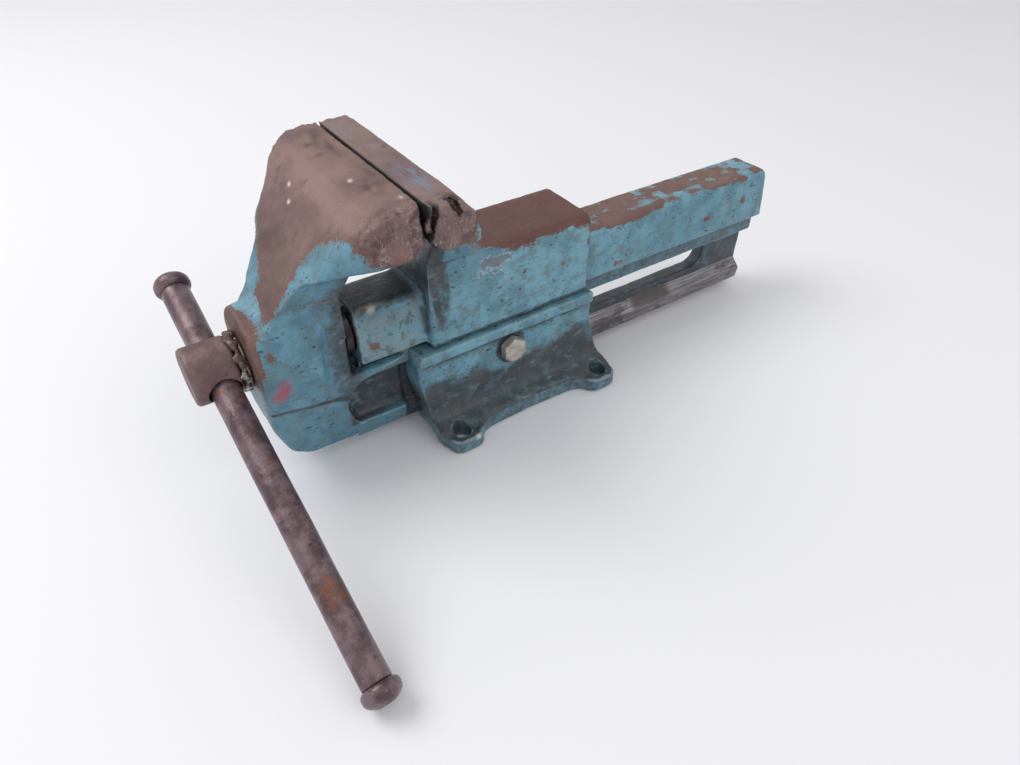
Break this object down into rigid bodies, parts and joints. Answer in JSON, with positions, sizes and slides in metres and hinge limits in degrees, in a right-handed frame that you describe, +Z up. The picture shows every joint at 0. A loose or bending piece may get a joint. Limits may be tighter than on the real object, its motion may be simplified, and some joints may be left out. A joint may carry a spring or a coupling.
{
  "type": "bench vise",
  "caption": "Forged forward-opening bench vise with wide jaws, a small anvil, a bolted base, a screw spindle and a sliding tommy bar.",
  "frame": {"origin": "middle of the base's underside, on the vise's plane of symmetry", "axes": "+X along the spindle from the moving front jaw towards the rear end of the beam, +Z up, -Y towards the side with the cross bolt's head"},
  "size_m": [0.524, 0.2992, 0.221],
  "materials": {
    "painted_steel": "worn blue paint over forged steel, rusted at the jaws",
    "rusted_steel": "bare forged steel with dark brown patina",
    "bright_steel": "machined steel, oiled",
    "zinc": "zinc plated, speckled",
    "bronze": "dull bronze"
  },
  "bodies": {
    "root": {"base": "painted_steel", "rear_jaw_body": "painted_steel", "gib_near": "bright_steel", "gib_far": "bright_steel", "gib_screw_1": "bright_steel", "gib_screw_2": "bright_steel", "body_screw_1": "bright_steel", "body_screw_2": "bright_steel", "body_screw_3": "bright_steel", "body_screw_4": "bright_steel", "clamp_bolt": "zinc", "clamp_washer": "zinc", "clamp_nut": "zinc", "spindle_nut": "bronze", "nut_screw_1": "bright_steel", "nut_screw_2": "bright_steel"},
    "front_jaw": {"front_jaw_body": "painted_steel", "thrust_washer": "bright_steel"},
    "spindle": {"spindle": "bright_steel", "spindle_head": "rusted_steel", "thrust_collar": "bronze", "retaining_ring": "bright_steel", "ring_screw_1": "bright_steel", "ring_screw_2": "bright_steel"},
    "tommy_bar": {"tommy_bar": "rusted_steel", "bar_end_upper": "rusted_steel", "bar_end_lower": "rusted_steel"}
  },
  "joints": [
    {"name": "jaw_slide", "type": "slide", "parent": "root", "child": "front_jaw", "axis": [-1, 0, 0], "range_m": [0, 0.225]},
    {"name": "spindle_turn", "type": "hinge", "parent": "front_jaw", "child": "spindle", "pos_m": [-0.2, 0, 0.1055], "axis": [-1, 0, 0], "range_deg": [0, 13320]},
    {"name": "bar_slide", "type": "slide", "parent": "spindle", "child": "tommy_bar", "axis": [0.0209, -0.9148, -0.4035], "range_m": [-0.202, 0.046]}
  ],
  "couplings": [
    {"joint": "jaw_slide", "follows": "spindle_turn", "m_per_rad": 0.00095493}
  ]
}
